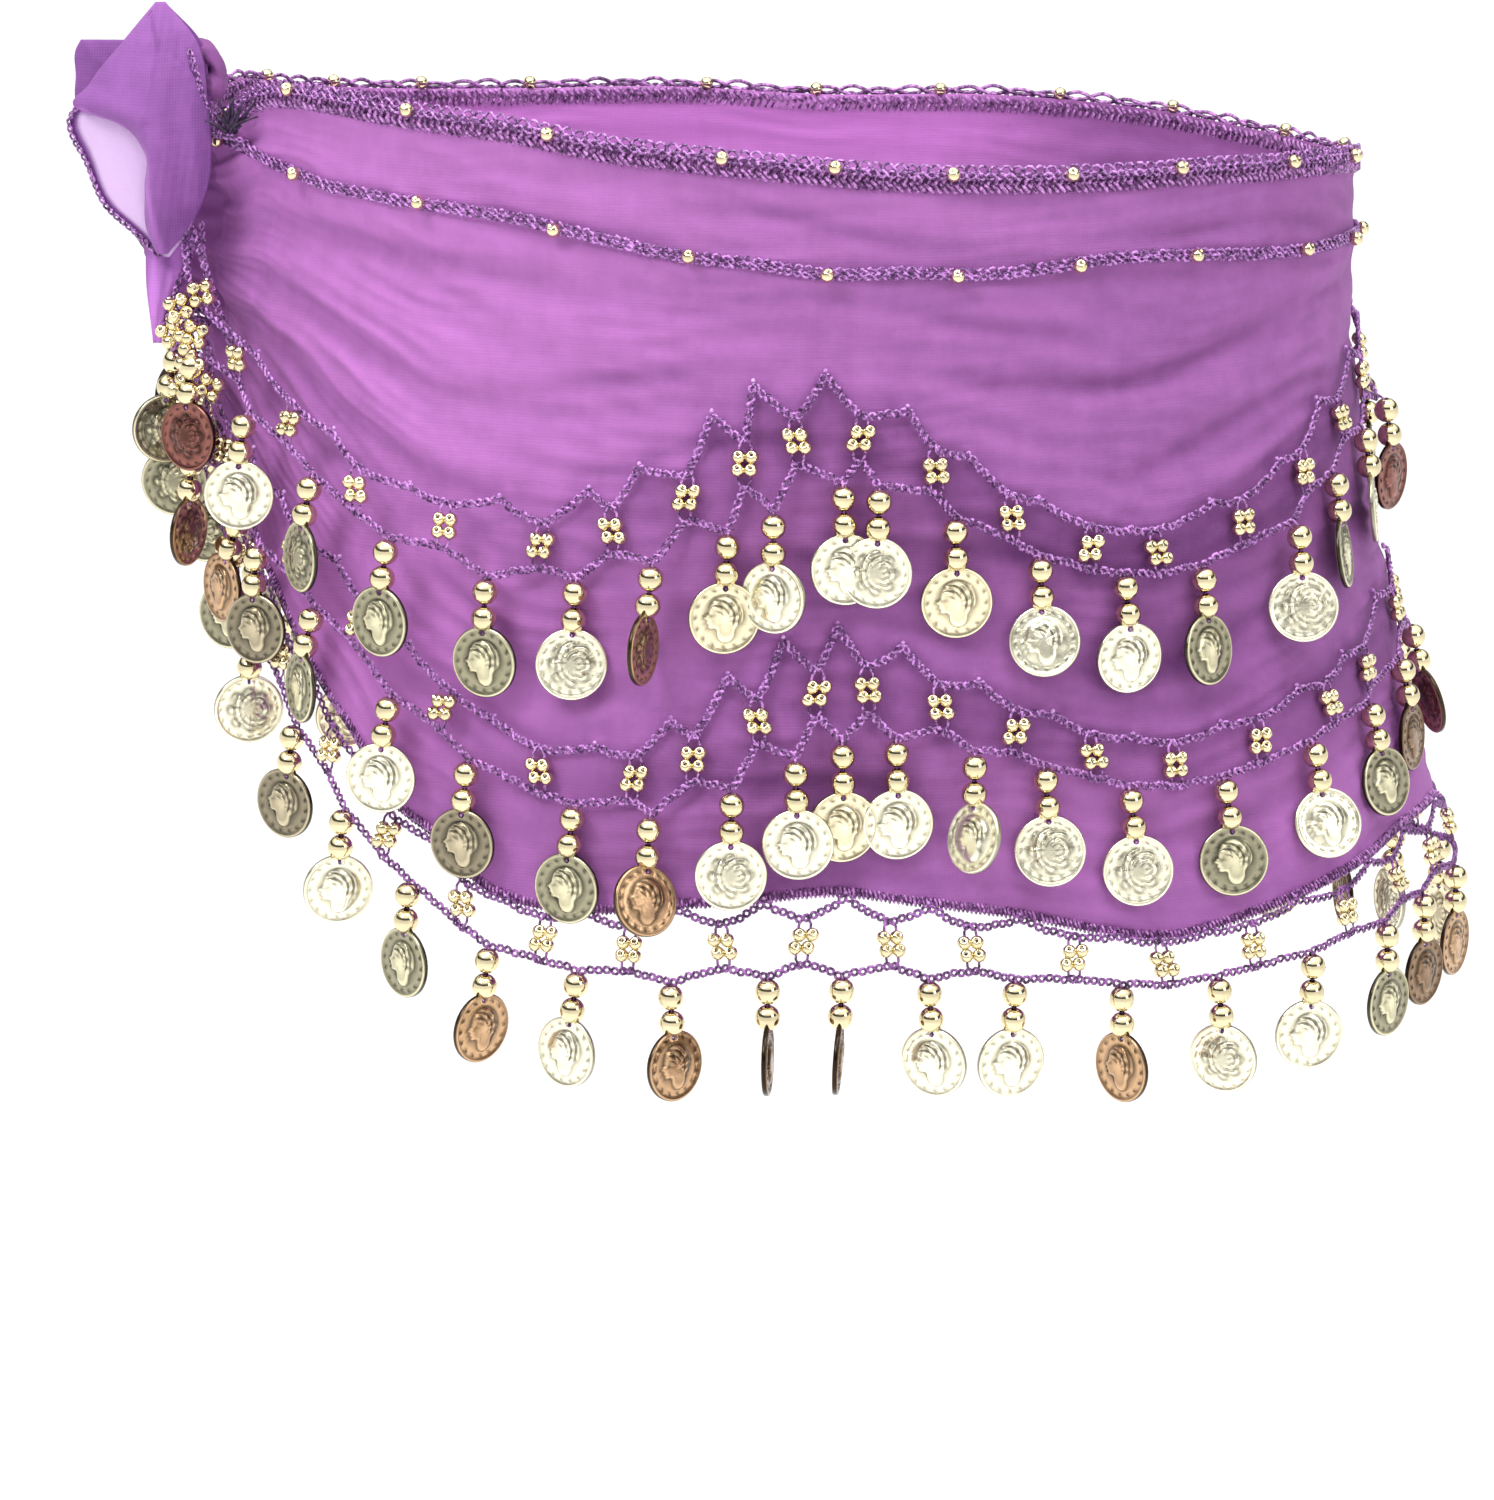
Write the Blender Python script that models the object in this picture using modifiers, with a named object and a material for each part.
"""Belly dance hip scarf as it is worn: a chiffon wrap knotted at one hip, with beaded chains and coin trims.

The scarf is wound round an oval that widens towards the hem and has nothing in it. A place on the cloth is a
turn in degrees round that oval and a height over the waist: turn 0 is the hip opposite the knot, -90 the
middle of the front and +90 the middle of the back. The knot is at turn -172, which is also +188.
The origin is the middle of the waist opening, +Z is up and the front faces -Y.
"""

import math
from collections import namedtuple

import bpy
import bmesh
import numpy as np

MM = 0.001

# The oval that the scarf is wound round
WAIST_HALF_WIDTH = 179 * MM
WAIST_HALF_DEPTH = 118 * MM
FLARE_FROM = 56 * MM
FLARE_DEPTH = 154 * MM
FLARE_WIDTH = 26 * MM
FLARE_FRONT = 20 * MM
KNOT_TURN = -172.0
FULL_TURN = 360.0
KNOT_PULL = 9 * MM
KNOT_PULL_REACH = 12.0

# Cloth, chains and clearances
CLOTH_WALL = 1.2 * MM
SEAM_GAP = 0.3 * MM
KNOT_GAP = 4.0 * MM
LAID_GAP = 0.6 * MM
CHAIN_THICK = 1.4 * MM
RIM_BAND_ABOVE = 2.0 * MM
RIM_BAND_BELOW = 4.2 * MM
CHAIN_BAND_HEIGHT = 4.0 * MM

# Coin trims
HEM_NET = 18 * MM
STRAND = 2.4 * MM
CLUSTER_HALF = 4.6 * MM
CLUSTER_SHARE = 0.55
CLUSTER_RISE = 0.9 * MM
FOOT_HALF = 1.2 * MM
BEAD = 8 * MM
BEAD_WAIST = 2.2 * MM
COIN = 22 * MM
COIN_THICK = 1.1 * MM
HANG_OUT = 4.6 * MM
LAYER_STEP = 5.4 * MM
LAYER_STEP_AT_KNOT = 3.4 * MM

# Mesh density
PANEL_COLUMNS = 32
PANEL_ROWS = 10
BAND_STEPS = 30
ROW_SAMPLES = 721

# Heights in millimetres of the scarf's lines over the waist plane, round the body
Line = namedtuple("Line", "turn rim chain upper upper_foot middle middle_foot hem hem_foot")
LINES = [
    Line(-172, 17, 4, -42, -60, -57, -74, -74, -90),
    Line(-162, 18, 1, -47, -62, -76, -92, -100, -116),
    Line(-155, 19, -3, -55, -70, -91, -107, -121, -137),
    Line(-150, 20, -5, -64, -80, -100, -116, -132, -148),
    Line(-144, 20, -8, -73, -87, -109, -128, -147, -163),
    Line(-138, 19, -9, -81, -97, -119, -136, -163, -181),
    Line(-134, 18, -10, -89, -104, -128, -144, -174, -193),
    Line(-128, 17, -11, -95, -112, -143, -160, -195, -211),
    Line(-123, 16, -12, -97, -115, -154, -170, -205, -221),
    Line(-119, 15, -13, -98, -122, -164, -180, -216, -231),
    Line(-108, 10, -19, -92, -119, -172, -190, -223, -240),
    Line(-101, 8, -23, -78, -112, -163, -190, -220, -242),
    Line(-94, 6, -25, -61, -102, -144, -180, -218, -240),
    Line(-87, 4, -28, -58, -91, -134, -169, -216, -240),
    Line(-79, 2, -28, -69, -94, -142, -169, -220, -242),
    Line(-72, 1, -29, -86, -107, -154, -174, -224, -243),
    Line(-56, 0, -26, -109, -122, -173, -188, -235, -248),
    Line(-46, 0, -27, -103, -120, -170, -185, -230, -245),
    Line(-36, -1, -29, -95, -112, -163, -179, -224, -242),
    Line(-25, -2, -30, -78, -100, -156, -174, -220, -240),
    Line(-13, -4, -30, -66, -90, -143, -166, -217, -238),
    Line(0, -7, -31, -56, -84, -135, -160, -216, -236),
    Line(13, -9, -32, -55, -81, -143, -165, -218, -238),
    Line(30, -8, -32, -79, -101, -158, -176, -225, -243),
    Line(50, -4, -30, -106, -121, -171, -187, -233, -248),
    Line(68, -2, -28, -92, -112, -158, -178, -226, -245),
    Line(87, -3, -27, -59, -91, -135, -169, -217, -240),
    Line(104, 0, -23, -84, -114, -164, -190, -221, -241),
    Line(122, 1, -17, -98, -120, -162, -179, -212, -229),
    Line(140, 4, -10, -86, -102, -126, -142, -166, -184),
    Line(157, 9, -2, -66, -82, -97, -113, -126, -142),
    Line(174, 14, 4, -47, -63, -66, -82, -90, -106),
    Line(188, 16, 8, -36, -52, -50, -66, -68, -84),
]

# The rows of coins: the lines of their crowns and feet, millimetres to a repeat, trims that they hang over
# beside the knot, and the turn where the front's row meets the back's
TrimRow = namedtuple("TrimRow", "crown foot repeat layers meets")
TRIM_ROWS = [
    TrimRow("upper", "upper_foot", 27.4, 2, 7.0),
    TrimRow("middle", "middle_foot", 28.4, 1, -1.0),
    TrimRow("hem", "hem_foot", 29.8, 0, 9.0),
]

# Where the trims lie on each other beside the knot: degrees from the knot
LAYER_FROM = 60.0
LAYER_FULL = 42.0
KNOT_LAYER_FROM = 18.0
KNOT_LAYER_FULL = 8.0

# Soft folds of the cloth
GATHER_FOLDS = 2.5
GATHER_DEPTH = 3.0 * MM
GATHER_REACH = 15.0
WAVE_DEPTH = 2.2 * MM
WAVES_ROUND = 7.0

# The tie: rows across each loose end, in millimetres, from its lower tip to its upper one
EndRow = namedtuple("EndRow", "height left right middle bulge")
FRONT_END_BACK_LAYER = [
    EndRow(-34, -199, -195.5, -47, 0),
    EndRow(-27, -205, -190, -45.5, 2),
    EndRow(-18, -215, -185, -44, 3.5),
    EndRow(-2.5, -222, -182, -42.5, 5),
    EndRow(8, -226, -182, -42, 5),
    EndRow(20, -219.5, -182.5, -41.5, 4),
    EndRow(33, -209, -185, -40.5, 3),
    EndRow(44.5, -199, -195.5, -40, 0),
]
FRONT_END_FOLDED_LAYER = [
    EndRow(-32.5, -199, -195.5, -51, 0),
    EndRow(-25, -202, -189.5, -50.5, 5),
    EndRow(-12.5, -202.5, -183, -49.5, 10),
    EndRow(0, -203, -181.5, -48.5, 12.5),
    EndRow(8.5, -212, -182, -47.8, 12),
    EndRow(12, -222.5, -182.5, -47.5, 11.5),
    EndRow(20.5, -219, -183, -46.5, 9.5),
    EndRow(33.5, -208.5, -186, -45.5, 6),
    EndRow(45.5, -198.5, -195.5, -44.5, 1),
]
BACK_END = [
    EndRow(1, -217, -209.5, -27, 1),
    EndRow(10, -225, -209, -28, 2),
    EndRow(21, -225.5, -202, -29, 3),
    EndRow(29.5, -225, -197, -29, 2),
    EndRow(32, -212, -200, -29, 1),
]
HANGING_END = [
    EndRow(-61, -201, -198.5, -48.5, 0),
    EndRow(-52, -202, -197, -47.5, 1.5),
    EndRow(-44, -203, -194, -45.5, 2),
    EndRow(-36, -203.5, -190, -41.5, 2),
]
END_COLUMNS = 8
SMALL_LOOP_RADIUS = 4.4 * MM
SMALL_LOOP_THICK = 2.6 * MM
SMALL_LOOP_CENTRE = (-184.0 * MM, -37.0 * MM, 27.5 * MM)
KNOT_CENTRE = (-201.5 * MM, -18.5 * MM, -12.0 * MM)
KNOT_HALF = (10.0 * MM, 11.5 * MM, 29.0 * MM)
KNOT_SIDES = 12
KNOT_RINGS = 9
KNOT_WRAPS = 3
KNOT_GROOVE = 0.07

CLOTH_PURPLE = (0.42, 0.16, 0.50, 1.0)
CHAIN_VIOLET = (0.22, 0.06, 0.32, 1.0)
COIN_GOLD = (0.83, 0.70, 0.36, 1.0)


def material(name, colour, roughness, metallic=0.0):
    """A Principled material with one colour."""
    made = bpy.data.materials.new(name)
    made.use_nodes = True
    shader = made.node_tree.nodes["Principled BSDF"]
    shader.inputs["Base Color"].default_value = colour
    shader.inputs["Roughness"].default_value = roughness
    shader.inputs["Metallic"].default_value = metallic
    return made


def ease(value):
    """0 below 0, 1 above 1, and a smooth step between."""
    inside = np.clip(value, 0.0, 1.0)
    return inside * inside * (3.0 - 2.0 * inside)


def smooth_through(knots, values, at):
    """Cubic curve through the values, whose slope at each knot is that between its neighbours."""
    knots = np.asarray(knots, float)
    values = np.asarray(values, float)
    slopes = np.gradient(values, knots)
    place = np.clip(np.searchsorted(knots, at) - 1, 0, len(knots) - 2)
    span = knots[place + 1] - knots[place]
    share = (at - knots[place]) / span
    start = (1.0 + 2.0 * share) * (1.0 - share) ** 2
    end = share * share * (3.0 - 2.0 * share)
    leave = share * (1.0 - share) ** 2 * span
    arrive = share * share * (share - 1.0) * span
    return start * values[place] + end * values[place + 1] + leave * slopes[place] + arrive * slopes[place + 1]


def line_height(column, turn):
    """Height in metres of one of the scarf's lines at a turn."""
    turns = [line.turn for line in LINES]
    heights = [getattr(line, column) for line in LINES]
    return smooth_through(turns, heights, np.asarray(turn, float)) * MM


def from_knot(turn):
    """Degrees between a turn and the knot, the shorter way round."""
    away = np.abs(np.asarray(turn, float) - KNOT_TURN)
    return np.minimum(away, FULL_TURN - away)


def folds(turn, height):
    """How far the soft folds move the cloth out: gathers that run into the knot, and slow waves at the hem."""
    rim = line_height("rim", turn)
    drop = rim - line_height("hem", turn)
    share = np.clip((rim - height) / drop, 0.0, 1.0)
    run_out = np.exp(-from_knot(turn) / GATHER_REACH)
    gathers = GATHER_DEPTH * run_out * np.sin(2.0 * math.pi * GATHER_FOLDS * share)
    swing = np.radians(turn)
    waves = np.sin(WAVES_ROUND * swing + 0.6) + 0.5 * np.sin((WAVES_ROUND + 4.0) * swing + 2.0)
    away = ease(from_knot(turn) / (2.0 * GATHER_REACH))
    return gathers + WAVE_DEPTH * share * share * waves * away


def cloth_point(turn, height, out=0.0):
    """Point over the cloth's outer face, moved out by a distance; below the hem's net it hangs plumb."""
    turn = np.asarray(turn, float)
    height = np.asarray(height, float)
    depth = -np.maximum(height, line_height("hem", turn) - HEM_NET)
    side_flare = np.clip((depth - FLARE_FROM) / FLARE_DEPTH, 0.0, None)
    front_flare = np.clip(depth / (FLARE_FROM + FLARE_DEPTH), 0.0, None)
    half_width = WAIST_HALF_WIDTH + FLARE_WIDTH * side_flare ** 1.15
    half_depth = WAIST_HALF_DEPTH + FLARE_FRONT * front_flare ** 1.2
    angle = np.radians(turn)
    normal_x = np.cos(angle) / half_width
    normal_y = np.sin(angle) / half_depth
    length = np.hypot(normal_x, normal_y)
    pull = KNOT_PULL * np.exp(-(from_knot(turn) / KNOT_PULL_REACH) ** 2)
    reach = folds(turn, height) + pull + out
    x = half_width * np.cos(angle) + reach * normal_x / length
    y = half_depth * np.sin(angle) + reach * normal_y / length
    return np.stack(np.broadcast_arrays(x, y, height), axis=-1)


def turn_for(length, at_turn):
    """Degrees of turn that take up a short length along the cloth."""
    step = 0.01
    here = cloth_point(at_turn, 0.0)
    there = cloth_point(at_turn + step, 0.0)
    return step * length / np.linalg.norm(there - here)


def add_object(name, bm, finish, collection, smooth=True):
    """One named object from a bmesh, its faces turned outwards."""
    mesh = bpy.data.meshes.new(name)
    bm.to_mesh(mesh)
    bm.free()
    if smooth:
        mesh.shade_smooth()
    mesh.materials.append(finish)
    placed = bpy.data.objects.new(name, mesh)
    collection.objects.link(placed)
    return placed


def add_sheet(name, grid, wall, finish, collection):
    """A wall of cloth: an open surface through a grid of points, thickened away from its right side."""
    rows, columns = grid.shape[:2]
    bm = bmesh.new()
    verts = [bm.verts.new(point) for point in grid.reshape(-1, 3)]
    for row in range(rows - 1):
        for column in range(columns - 1):
            first = row * columns + column
            corners = (first, first + 1, first + columns + 1, first + columns)
            bm.faces.new([verts[corner] for corner in corners])
    placed = add_object(name, bm, finish, collection)
    thicken = placed.modifiers.new("Wall", "SOLIDIFY")
    thicken.thickness = wall
    thicken.offset = -1.0
    return placed


def add_loft(name, sections, finish, collection, ring=False):
    """A closed solid lofted through sections of equally many points; a ring joins last to first."""
    count, sides = sections.shape[:2]
    bm = bmesh.new()
    verts = [bm.verts.new(point) for point in sections.reshape(-1, 3)]
    last = count if ring else count - 1
    for step in range(last):
        for side in range(sides):
            here = step * sides
            there = ((step + 1) % count) * sides
            beside = (side + 1) % sides
            bm.faces.new([verts[here + side], verts[here + beside], verts[there + beside], verts[there + side]])
    if not ring:
        bm.faces.new(verts[:sides])
        bm.faces.new(verts[-sides:])
    bmesh.ops.recalc_face_normals(bm, faces=bm.faces)
    return add_object(name, bm, finish, collection)


def add_panel(name, start, end, finish, collection):
    """One stretch of the chiffon from rim to hem, between two turns in rising order."""
    turns = np.linspace(start, end, PANEL_COLUMNS + 1)
    shares = np.linspace(1.0, 0.0, PANEL_ROWS + 1)[:, None]
    rim = line_height("rim", turns)
    hem = line_height("hem", turns)
    grid = cloth_point(turns, rim + shares * (hem - rim))
    return add_sheet(name, grid, CLOTH_WALL, finish, collection)


def add_band(name, column, above, below, start, end, finish, collection):
    """A crocheted band that lies on the cloth along one of its lines."""
    turns = np.linspace(start, end, BAND_STEPS + 1)
    height = line_height(column, turns)
    corners = [
        (height + above, LAID_GAP),
        (height + above, LAID_GAP + CHAIN_THICK),
        (height - below, LAID_GAP + CHAIN_THICK),
        (height - below, LAID_GAP),
    ]
    sections = np.stack([cloth_point(turns, level, out) for level, out in corners], axis=1)
    return add_loft(name, sections, finish, collection)


def layer_out(turn, layers):
    """How far a trim stands out beside the knot, where it hangs over the trims below it."""
    away = from_knot(turn)
    spread = LAYER_STEP * ease((LAYER_FROM - away) / (LAYER_FROM - LAYER_FULL))
    bunch = LAYER_STEP_AT_KNOT * ease((KNOT_LAYER_FROM - away) / (KNOT_LAYER_FROM - KNOT_LAYER_FULL))
    return layers * (spread + bunch)


def even_turns(row, start, end):
    """Turns at half repeats along a row's crowns, with a whole number of repeats between start and end."""
    turns = np.linspace(start, end, ROW_SAMPLES)
    path = cloth_point(turns, line_height(row.crown, turns))
    steps = np.linalg.norm(np.diff(path, axis=0), axis=1)
    along = np.concatenate([[0.0], np.cumsum(steps)])
    repeats = round(along[-1] / (row.repeat * MM))
    places = np.linspace(0.0, along[-1], 2 * repeats + 1)
    return np.interp(places, along, turns), repeats


def drop_sections():
    """Sections of a drop below its net: how far down, half its width and half its thickness.

    Two round beads, then a coin that hangs flat from its top edge.
    """
    beads = [
        (0.5 * BEAD, 0.44 * BEAD, 0.44 * BEAD),
        (BEAD, 0.5 * BEAD_WAIST, 0.5 * BEAD_WAIST),
        (1.5 * BEAD, 0.44 * BEAD, 0.44 * BEAD),
        (2.0 * BEAD, 0.5 * BEAD_WAIST, 0.5 * COIN_THICK),
    ]
    coin_half = 0.433 * COIN
    coin = [
        (2.0 * BEAD + 0.25 * COIN, coin_half, 0.5 * COIN_THICK),
        (2.0 * BEAD + 0.75 * COIN, coin_half, 0.5 * COIN_THICK),
        (2.0 * BEAD + COIN, 0.5 * BEAD_WAIST, 0.5 * COIN_THICK),
    ]
    return beads + coin


def add_trim(name, row, start, end, finish, collection):
    """A row of net with a bead cluster in each repeat and a drop of two beads and a coin between them.

    Each repeat is an X: two strands rise from the cluster to the crowns, where the net is tacked to the
    cloth, and two fall to the feet that the drops hang from.
    """
    turns, repeats = even_turns(row, start, end)
    onward = math.copysign(1.0, end - start)
    crowns = line_height(row.crown, turns)
    feet = line_height(row.foot, turns)
    clusters = crowns + CLUSTER_SHARE * (feet - crowns)
    bm = bmesh.new()

    def place(half, along, height, out):
        """Vertex near a half repeat: metres along the row, at a height, out from the cloth."""
        at_turn = turns[half]
        turn = at_turn + onward * turn_for(along, at_turn)
        return bm.verts.new(cloth_point(turn, height, out + layer_out(at_turn, row.layers)))

    def pair(half, along, height, rise=0.0):
        """The inner and the outer vertex of one point of the net."""
        inner = place(half, along, height, LAID_GAP)
        return inner, place(half, along, height, LAID_GAP + CHAIN_THICK + rise)

    def face(*corners):
        """A face on the net's inner side and one on its outer side."""
        for side in (0, 1):
            bm.faces.new([corner[side] for corner in corners])

    def wall(first, second):
        """The narrow face that joins inner and outer side along an edge of the net."""
        bm.faces.new((first[0], second[0], second[1], first[1]))

    crown_halves = range(0, 2 * repeats + 1, 2)
    foot_halves = range(2, 2 * repeats + 1, 2)
    crown_top = [pair(half, 0.0, crowns[half] + 0.6 * STRAND) for half in crown_halves]
    crown_low = [pair(half, 0.0, crowns[half] - STRAND) for half in crown_halves]
    foot_top = [pair(half, 0.0, feet[half] + 1.4 * STRAND) for half in foot_halves]
    foot_near = [pair(half, -FOOT_HALF, feet[half]) for half in foot_halves]
    foot_far = [pair(half, FOOT_HALF, feet[half]) for half in foot_halves]

    for step in range(repeats):
        middle = 2 * step + 1
        top = pair(middle, 0.0, clusters[middle] + CLUSTER_HALF, CLUSTER_RISE)
        near = pair(middle, -CLUSTER_HALF, clusters[middle], CLUSTER_RISE)
        far = pair(middle, CLUSTER_HALF, clusters[middle], CLUSTER_RISE)
        bottom = pair(middle, 0.0, clusters[middle] - CLUSTER_HALF, CLUSTER_RISE)
        face(top, far, bottom, near)
        face(crown_top[step], top, near, crown_low[step])
        face(top, crown_top[step + 1], crown_low[step + 1], far)
        face(far, foot_top[step], foot_near[step], bottom)
        face(foot_top[step], foot_far[step], foot_near[step])
        wall(crown_top[step], top)
        wall(top, crown_top[step + 1])
        wall(crown_low[step], near)
        wall(far, crown_low[step + 1])
        wall(far, foot_top[step])
        wall(bottom, foot_near[step])
        if step == 0:
            wall(near, bottom)
        else:
            face(foot_top[step - 1], near, bottom, foot_far[step - 1])
            wall(foot_top[step - 1], near)
            wall(foot_far[step - 1], bottom)
    wall(foot_top[-1], foot_far[-1])
    wall(crown_top[0], crown_low[0])
    wall(crown_top[-1], crown_low[-1])

    corners = ((-1, -1), (1, -1), (1, 1), (-1, 1))
    for near, far, half in zip(foot_near, foot_far, foot_halves):
        ring = [near[0], far[0], far[1], near[1]]
        for down, half_width, half_thick in drop_sections():
            below = [
                place(half, side * half_width, feet[half] - down, HANG_OUT + outward * half_thick)
                for side, outward in corners
            ]
            for corner in range(4):
                beside = (corner + 1) % 4
                bm.faces.new((ring[corner], ring[beside], below[beside], below[corner]))
            ring = below
        bm.faces.new(ring)

    bmesh.ops.recalc_face_normals(bm, faces=bm.faces)
    return add_object(name, bm, finish, collection, smooth=False)


def add_tie_end(name, rows, wall, finish, collection):
    """A loose end of the tie: a sheet across its rows, bulged towards the front."""
    across = np.linspace(0.0, 1.0, END_COLUMNS + 1)
    dome = np.sqrt(np.clip(1.0 - (2.0 * across - 1.0) ** 2, 0.0, 1.0))
    grid = np.array([
        np.stack([
            row.left + (row.right - row.left) * across,
            row.middle - row.bulge * dome,
            np.full_like(across, row.height),
        ], axis=-1)
        for row in rows
    ]) * MM
    return add_sheet(name, grid, wall, finish, collection)


def add_knot(finish, collection):
    """The knot: a rounded lump of the two ends wound over each other, grooved between its wraps."""
    climbs = np.linspace(-0.97, 0.97, KNOT_RINGS)
    angles = np.linspace(0.0, 2.0 * math.pi, KNOT_SIDES, endpoint=False)
    climb, angle = np.meshgrid(climbs, angles, indexing="ij")
    girth = np.sqrt(1.0 - climb ** 2) * (1.0 - KNOT_GROOVE * np.cos(2.0 * math.pi * KNOT_WRAPS * climb + angle))
    sections = np.stack([
        KNOT_CENTRE[0] + KNOT_HALF[0] * girth * np.cos(angle),
        KNOT_CENTRE[1] + KNOT_HALF[1] * girth * np.sin(angle),
        KNOT_CENTRE[2] + KNOT_HALF[2] * climb,
    ], axis=-1)
    return add_loft("knot", sections, finish, collection)


def add_small_loop(finish, collection):
    """The little rolled loop of cloth that stands up beside the knot, open in its middle."""
    round_loop = np.linspace(0.0, 2.0 * math.pi, 14, endpoint=False)
    round_roll = np.linspace(0.0, 2.0 * math.pi, 6, endpoint=False)
    loop, roll = np.meshgrid(round_loop, round_roll, indexing="ij")
    reach = SMALL_LOOP_RADIUS + 0.5 * SMALL_LOOP_THICK * np.cos(roll)
    lean = 0.5
    along = reach * np.cos(loop)
    climb = 1.5 * reach * np.sin(loop)
    sections = np.stack([
        SMALL_LOOP_CENTRE[0] + along,
        SMALL_LOOP_CENTRE[1] + SMALL_LOOP_THICK * np.sin(roll),
        SMALL_LOOP_CENTRE[2] + climb - lean * along,
    ], axis=-1)
    return add_loft("small_loop", sections, finish, collection, ring=True)


def build():
    """Clears the scene and makes every piece of the scarf."""
    for old in list(bpy.data.objects):
        bpy.data.objects.remove(old, do_unlink=True)
    scarf = bpy.data.collections.new("hip_scarf")
    bpy.context.scene.collection.children.link(scarf)

    chiffon = material("chiffon", CLOTH_PURPLE, 0.75)
    yarn = material("crochet_yarn", CHAIN_VIOLET, 0.7)
    gold = material("coin_gold", COIN_GOLD, 0.3, 1.0)

    knot_from_back = KNOT_TURN + FULL_TURN
    seam = turn_for(0.5 * SEAM_GAP, 0.0)
    into_knot = turn_for(0.5 * KNOT_GAP, KNOT_TURN)
    add_panel("cloth_front", KNOT_TURN + into_knot, -seam, chiffon, scarf)
    add_panel("cloth_back", seam, knot_from_back - into_knot, chiffon, scarf)

    band_end = 1.6
    hip_end = 0.3
    for side, start, end in (
        ("front", KNOT_TURN + band_end, -hip_end),
        ("back", hip_end, knot_from_back - band_end),
    ):
        add_band(f"rim_chain_{side}", "rim", RIM_BAND_ABOVE, RIM_BAND_BELOW, start, end, yarn, scarf)
        half_band = 0.5 * CHAIN_BAND_HEIGHT
        add_band(f"second_chain_{side}", "chain", half_band, half_band, start, end, yarn, scarf)

    trim_end = 3.0
    for row in TRIM_ROWS:
        front_end = row.meets - hip_end
        back_end = row.meets + hip_end
        add_trim(f"{row.crown}_trim_front", row, front_end, KNOT_TURN + trim_end, gold, scarf)
        add_trim(f"{row.crown}_trim_back", row, knot_from_back - trim_end, back_end, gold, scarf)

    add_knot(chiffon, scarf)
    add_small_loop(chiffon, scarf)
    add_tie_end("tie_end_front", FRONT_END_BACK_LAYER, CLOTH_WALL, chiffon, scarf)
    add_tie_end("tie_end_front_fold", FRONT_END_FOLDED_LAYER, CLOTH_WALL, chiffon, scarf)
    add_tie_end("tie_end_back", BACK_END, CLOTH_WALL, chiffon, scarf)
    add_tie_end("tie_end_hanging", HANGING_END, CLOTH_WALL, chiffon, scarf)


build()
